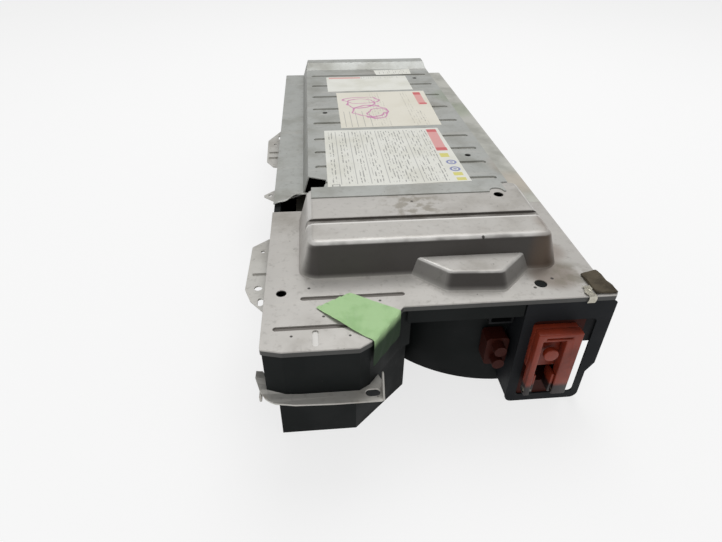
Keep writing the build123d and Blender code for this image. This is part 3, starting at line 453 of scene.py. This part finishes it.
# ---------------------------------------------------------------- modelling helpers
def place(x, distance, z):
    """A point from millimetres across, behind the near edge of the lid, and up."""
    return Vector((x / 1000, behind(distance), z / 1000))


def fresh():
    """Leaves nothing selected, so that the next tool acts on one piece alone."""
    if bpy.context.object and bpy.context.object.mode != "OBJECT":
        bpy.ops.object.mode_set(mode="OBJECT")
    bpy.ops.object.select_all(action="DESELECT")


def pick(piece):
    fresh()
    piece.select_set(True)
    bpy.context.view_layer.objects.active = piece


def settle(piece, name):
    """Names a piece and moves its place into its mesh."""
    pick(piece)
    piece.name = name
    piece.data.name = name
    bpy.ops.object.transform_apply(location=True, rotation=True, scale=True)
    return piece


def block(name, low, high):
    """A box between two corners."""
    fresh()
    first, last = place(*low), place(*high)
    bpy.ops.mesh.primitive_cube_add(size=1.0, location=(first + last) / 2, scale=last - first)
    return settle(bpy.context.object, name)


def drum(name, centre, radius, run, axis, sides=32):
    """A round bar about a point, along X or Y."""
    fresh()
    turn = (0, math.pi / 2, 0) if axis == "X" else (math.pi / 2, 0, 0)
    bpy.ops.mesh.primitive_cylinder_add(vertices=sides, radius=radius / 1000, depth=run / 1000,
                                        location=place(*centre), rotation=turn)
    return settle(bpy.context.object, name)


def take(piece, kind, **settings):
    """Puts a modifier on a piece and applies it."""
    pick(piece)
    change = piece.modifiers.new(kind.title(), kind)
    for name, value in settings.items():
        setattr(change, name, value)
    bpy.ops.object.modifier_apply(modifier=change.name)
    return piece


def cut(piece, *tools):
    """Cuts other shapes out of a piece."""
    for tool in tools:
        take(piece, "BOOLEAN", operation="DIFFERENCE", object=tool, solver="EXACT")
        bpy.data.objects.remove(tool)
    return piece


def join(name, *pieces):
    """Makes one piece out of several."""
    fresh()
    for piece in pieces:
        piece.select_set(True)
    bpy.context.view_layer.objects.active = pieces[0]
    bpy.ops.object.join()
    return settle(pieces[0], name)


def smooth(piece, angle):
    """Shades a piece smooth, apart from edges sharper than an angle in degrees."""
    pick(piece)
    bpy.ops.object.shade_smooth_by_angle(angle=math.radians(angle))
    return piece


def grid(name, across, along):
    """A flat unit sheet with so many cells each way, to be laid over the pack."""
    fresh()
    bpy.ops.mesh.primitive_grid_add(x_subdivisions=across, y_subdivisions=along, size=1.0)
    return settle(bpy.context.object, name)


def soften(piece, width, segments=3, angle=35):
    """Rounds the sharp edges of a piece and shades it smooth between them."""
    take(piece, "BEVEL", width=width / 1000, segments=segments, limit_method="ANGLE",
         angle_limit=math.radians(angle))
    return smooth(piece, 40)


def plate(name, outline, level, thickness, edge=0.25):
    """A flat sheet piece with eased edges, from (x, distance) corners."""
    fresh()
    curve = bpy.data.curves.new(name, "CURVE")
    curve.dimensions = "2D"
    curve.fill_mode = "BOTH"
    for ring in outline:
        spline = curve.splines.new("POLY")
        spline.points.add(len(ring) - 1)
        for point, (x, distance) in zip(spline.points, ring):
            point.co = (x / 1000, behind(distance), 0, 1)
        spline.use_cyclic_u = True
    curve.extrude = (thickness / 2 - edge) / 1000
    curve.bevel_depth = edge / 1000
    curve.offset = -edge / 1000
    piece = bpy.data.objects.new(name, curve)
    bpy.context.scene.collection.objects.link(piece)
    piece.location.z = (level + thickness / 2) / 1000
    pick(piece)
    bpy.ops.object.convert(target="MESH")
    piece = settle(bpy.context.object, name)
    take(piece, "WELD", merge_threshold=0.00002)
    return piece


def oval(x, distance, width, length, steps=20):
    """Corners of a rounded slot that runs along the pack's width or length."""
    ring = []
    for step in range(steps):
        angle = 2 * math.pi * step / steps
        turn_x, turn_y = math.cos(angle), math.sin(angle)
        ring.append((x + math.copysign(max(width - length, 0) / 2, turn_x) + min(width, length) / 2 * turn_x,
                     distance + math.copysign(max(length - width, 0) / 2, turn_y) + min(width, length) / 2 * turn_y))
    return ring


def dress(piece, material, body, slot, *stands_for):
    """Gives a piece its finish, the body that it moves with and the CAD pieces that it stands for."""
    piece.data.materials.clear()
    piece.data.materials.append(material)
    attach(piece, body)
    for name in stands_for:
        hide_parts(name)
    return piece


# ---------------------------------------------------------------- service plug
hinge_distance, hinge_z = 43.8, 36

# The lever is a frame with a narrow left leg, a broad right leg and a slotted bar, round the grip.
# It, the grip and the pins stand about 10 mm further towards -X than the CAD solids they replace.
# Known fault: bevelling past the bar slot leaves a few stray faces and an open edge.
lever = cut(block("lever", (103.5, 38.2, 30), (152.5, 49.6, 123)),
            block("opening", (110, 20, 10), (136, 70, 113.5)),
            block("bar_slot", (113, 20, 116.0), (142, 41, 118.2)),
            drum("eye", (128, hinge_distance, hinge_z), 3.1, 80, "X"))
lever = soften(lever, 1.6)
dress(lever, orange_plastic, "lever", "orange_plastic", "service_plug_lever")

# The grip is meant to fill the frame: a plate with a round boss, hooked slots and an arch for a finger.
# Known fault: these cuts leave nothing of the plate, so only the boss, the back and the cheeks are there.
grip = block("grip", (110.5, 41.5, 47), (135.5, 58.3, 113))
arch = join("arch", drum("arch_top", (123, 45, 57), 9.5, 60, "Y"),
            block("arch_foot", (113.5, 15, 30), (132.5, 75, 57)))
grip = cut(grip, arch,
           block("left_hook", (112.2, 30, 82), (114.4, 46, 104)),
           block("left_turn", (112.2, 30, 102), (117, 46, 104.2)),
           block("right_hook", (131.6, 30, 82), (133.8, 46, 104)),
           block("right_turn", (129, 30, 102), (133.8, 46, 104.2)),
           block("lower_slot", (115, 30, 73), (131, 50, 78)))
boss = soften(drum("boss", (123, 41.2, 93), 8, 7, "Y", 40), 1.2)
grip = join("grip", soften(grip, 0.9, 2), boss)
back = block("plug_back", (104, 50.6, 66), (152, 58.3, 122))
cheeks = [block("cheek", (x, 41, 32), (x + 3.4, 58.3, 60)) for x in (110.5, 132.1)]
grip = join("service_plug_grip_piece", grip, soften(back, 1.0, 2), *[soften(cheek, 0.6, 2) for cheek in cheeks])
dress(grip, orange_plastic, "pack", "orange_plastic", "service_plug_grip")

pins = join("pins", *[soften(drum("pin", (x, hinge_distance, hinge_z), 3, 9, "X"), 0.4, 2)
                      for x in (108.5, 140.5)])
dress(pins, bolt_steel, "pack", "bolt_steel", "lever_pins")

# dark shroud behind the upper corner of the panel's window
shroud = block("window_shroud", (158, 59.0, 84), (176.5, 61.0, 133))
corner = block("corner", (166, 50, 70), (190, 70, 92))
shroud = soften(cut(shroud, corner), 0.4, 2)
dress(shroud, black_plastic, "pack", "black_plastic")

# ---------------------------------------------------------------- bright bracket round the block
strip = plate("strip", [[(-168, 33), (-176.5, 24), (-184, 31), (-189.5, 27), (-189.8, 18), (-185.5, 6),
                         (-179.5, -2.5), (-170, -7.5), (-151, -10.8), (-113, -12.3), (-68, -12.3),
                         (-64.4, -10), (-64.2, 12), (-72, 33)],
                        oval(-75.3, -1.5, 15, 9.5)], 98.0, 2.0)
take(strip, "SUBSURF", levels=1, render_levels=1, subdivision_type="SIMPLE")
for point in strip.data.vertices:
    turn_up = max(0.0, (-0.1745 - point.co.x) / 0.015)
    point.co.z += 0.010 * min(turn_up, 1.0) ** 1.6
tab = block("tab", (-66.4, -12.2, 98.3), (-64.6, 6, 121))
pick(tab)
for point in tab.data.vertices:
    if point.co.z > 0.11:
        point.co.y = behind(2.5 if point.co.y < behind(-3) else 5.5)
strap = join("strap", soften(strip, 0.3, 1), soften(tab, 0.5, 2))
lower_strip = block("lower_strip", (-186, 1.0, 93.5), (-183.6, 24, 100.5))
strap = join("bracket_strap", strap, soften(lower_strip, 0.5, 2))
dress(strap, bracket_steel, "pack", "bracket_steel", "front_bracket")

# ---------------------------------------------------------------- foam pad and foil at the near right corner
pad = plate("pad", [[(161, 91), (180.5, 96), (186, 57), (163, 57.5)]], 160.3, 3.2, 0.8)
take(pad, "SUBSURF", levels=3, render_levels=3, subdivision_type="SIMPLE")
for point in pad.data.vertices:
    if point.co.z > 0.1615:
        point.co.z += 0.0008 * math.sin(point.co.x * 420) * math.cos(point.co.y * 310)
dress(pad, pad_foam, "pack", "pad_foam", "corner_pad")

foil_fold = 0.32
foil = grid("foil", 10, 28)
for point in foil.data.vertices:
    across, along = point.co.x + 0.5, point.co.y + 0.5
    x = 153.5 + 8.5 * across + 1.5 * math.sin(along * 9)
    if along > foil_fold:
        reach = (along - foil_fold) / 0.68
        crease = 0.9 * math.sin(across * 7 + along * 17) ** 2
        point.co = place(x - 1.5 * reach, 54.4 + 16 * reach, 160.7 + crease + 0.5)
    else:
        drop = 1 - along / foil_fold
        point.co = place(x, 53.9 - 0.5 * drop, 160.6 - 9 * drop + 0.5)
take(foil, "SOLIDIFY", thickness=0.0003, offset=0.0)
dress(foil, tab_metal, "pack", "tab_metal", "earth_tab")

# ---------------------------------------------------------------- torn corner of the far lid
flap = grid("torn_flap", 36, 8)
for point in flap.data.vertices:
    along, across = point.co.x + 0.5, point.co.y + 0.5
    corner, elbow, tip = Vector((-180.2, 279)), Vector((-141, 304.5)), Vector((-109, 291.5))
    edge = corner.lerp(elbow, along / 0.6) if along < 0.6 else elbow.lerp(tip, (along - 0.6) / 0.4)
    reach = 9.0 * math.sin(math.pi * (0.15 + 0.7 * along)) + 2.0 * math.sin(along * 11)
    lift = 1.2 + 4.5 * math.sin(math.pi * along) + 1.2 * math.sin(along * 19)
    point.co = place(edge.x + 0.22 * reach * across, edge.y + 1.2 - reach * across * 0.9,
                     160.9 + lift * math.sin(across * math.pi * 0.62) - 3.0 * max(0.0, across - 0.7))
take(flap, "SOLIDIFY", thickness=0.0010, offset=0.0)
smooth(flap, 50)
dress(flap, far_lid_steel, "pack", "lid_steel")

# ---------------------------------------------------------------- green tape
tape_fold = 0.66
tape = grid("tape", 70, 40)
for point in tape.data.vertices:
    along, across = point.co.x + 0.5, point.co.y + 0.5
    left = Vector((-127, 59)).lerp(Vector((-75.2, 8.0)), min(along / tape_fold, 1))
    right = Vector((-91.7, 80)).lerp(Vector((-44.0, 48)), min(along / tape_fold, 1))
    if along < tape_fold:
        sag = 4.0 * math.sin(math.pi * min(along / tape_fold, 1)) * (1 - across)
        spread = left.lerp(right, across)
        wrinkle = 0.5 * math.sin(across * 21 + along * 9) * math.sin(along * 23 + 1) ** 2
        curl = 2.2 * max(0.0, 0.16 - across) / 0.16 * math.sin(math.pi * min(along / 0.6, 1)) ** 2
        torn = 1.4 * math.sin(across * 31) * (1 - min(along / 0.06, 1))
        point.co = place(spread.x - 0.35 * sag + torn, spread.y - sag * 0.5 + torn, 161.1 + wrinkle * 0.8 + curl)
    else:
        drop = (along - tape_fold) / 0.34
        spread = left.lerp(right, across)
        fold = 0.4 * math.sin(across * 17 + drop * 6)
        point.co = place(spread.x + 0.9 + fold * 0.6, spread.y - 1.1 - fold * 0.5, 160.9 - 33.5 * drop)
take(tape, "SOLIDIFY", thickness=0.00025, offset=0.0)
smooth(tape, 50)
dress(tape, tape_paper, "pack", "tape_paper", "masking_tape")

# ---------------------------------------------------------------- stiffening swages on the case walls
wall_x = 171.9
first_swage, swage_pitch, swages_per_wall = 240, 82, 8
swage_middle = 64


def swage(name, x, distance, side):
    """A shallow upright rib pressed out of a long wall."""
    fresh()
    bpy.ops.mesh.primitive_uv_sphere_add(segments=24, ring_count=16, radius=1.0,
                                         location=place(x, distance, swage_middle), scale=(0.0024, 0.009, 0.044))
    rib = settle(bpy.context.object, name)
    pick(rib)
    bpy.ops.object.mode_set(mode="EDIT")
    bpy.ops.mesh.select_all(action="SELECT")
    bpy.ops.mesh.bisect(plane_co=place(x, distance, swage_middle), plane_no=(-side, 0, 0),
                        clear_outer=True, use_fill=True)
    bpy.ops.object.mode_set(mode="OBJECT")
    bpy.ops.object.shade_smooth_by_angle(angle=math.radians(40))
    return rib


for number in range(swages_per_wall):
    for side, wall in ((-1, "left"), (1, "right")):
        distance = first_swage + swage_pitch * number
        rib = swage("swage_%s_%d" % (wall, number + 1), side * wall_x, distance, side)
        dress(rib, case_paint, "pack", "case_paint")

# ---------------------------------------------------------------- floor, light and camera
floor_width = 16.0
floor_glow = 0.75
room_level, backdrop_level = 0.42, 1.0

floor_finish = Finish("floor_white", tone(250, 250, 250), roughness=0.9, specular=0.1)
floor_finish.tint(tone(246, 246, 246), floor_finish.noise(3.0) * 0.2)
floor_finish.done()
rays = floor_finish.tree.nodes.new("ShaderNodeLightPath")
glow = floor_finish.tree.nodes.new("ShaderNodeEmission")
blend = floor_finish.tree.nodes.new("ShaderNodeMixShader")
seen = (Signal(floor_finish, rays.outputs["Is Camera Ray"]) + Signal(floor_finish, rays.outputs["Is Glossy Ray"])
        + Signal(floor_finish, rays.outputs["Is Transmission Ray"])).reckon("MINIMUM", 1.0)
floor_finish.feed(blend.inputs[0], seen * floor_glow)
floor_finish.tree.links.new(floor_finish.shader.outputs[0], blend.inputs[1])
floor_finish.tree.links.new(glow.outputs[0], blend.inputs[2])
floor_finish.tree.links.new(blend.outputs[0], floor_finish.tree.nodes["Material Output"].inputs["Surface"])

bpy.ops.object.select_all(action="DESELECT")
bpy.ops.mesh.primitive_plane_add(size=floor_width, location=(0, 0, 0))
floor = bpy.context.object
floor.name = "floor"
floor.data.materials.append(floor_finish.material)

world = bpy.data.worlds.new("studio")
bpy.context.scene.world = world
world.use_nodes = True
sky = world.node_tree.nodes["Background"]
sky.inputs["Color"].default_value = (1, 1, 1, 1)
lights = world.node_tree.nodes.new("ShaderNodeLightPath")
either_ray = world.node_tree.nodes.new("ShaderNodeMath")
either_ray.operation = "MAXIMUM"
level = world.node_tree.nodes.new("ShaderNodeMapRange")
world.node_tree.links.new(lights.outputs["Is Camera Ray"], either_ray.inputs[0])
world.node_tree.links.new(lights.outputs["Is Transmission Ray"], either_ray.inputs[1])
world.node_tree.links.new(either_ray.outputs[0], level.inputs["Value"])
level.inputs["To Min"].default_value = room_level
level.inputs["To Max"].default_value = backdrop_level
world.node_tree.links.new(level.outputs[0], sky.inputs["Strength"])


def soft_lamp(name, place, aim, size, power):
    """A large square lamp turned towards a point."""
    bpy.ops.object.light_add(type="AREA", location=place)
    lamp = bpy.context.object
    lamp.name = name
    lamp.data.size = size
    lamp.data.energy = power
    lamp.rotation_euler = (Vector(aim) - Vector(place)).to_track_quat("-Z", "Y").to_euler()


soft_lamp("overhead_lamp", (0.3, 0.9, 2.6), (0, 0, 0.1), 1.8, 34)
soft_lamp("front_lamp", (-1.6, -2.2, 1.6), (0, -0.1, 0.1), 1.6, 8)

camera_data = bpy.data.cameras.new("camera")
camera_data.sensor_width = 36.0
camera_data.lens = 25.5
camera_data.clip_start = 0.01
camera = bpy.data.objects.new("camera", camera_data)
bpy.context.scene.collection.objects.link(camera)
camera.matrix_world = (Matrix.Translation((-0.1193, -0.7876, 0.4897))
                       @ Matrix.Rotation(math.radians(-5.36), 4, "Z")
                       @ Matrix.Rotation(math.radians(54.11), 4, "X")
                       @ Matrix.Rotation(math.radians(0.39), 4, "Z"))
bpy.context.scene.camera = camera
bpy.context.scene.view_settings.view_transform = "Standard"
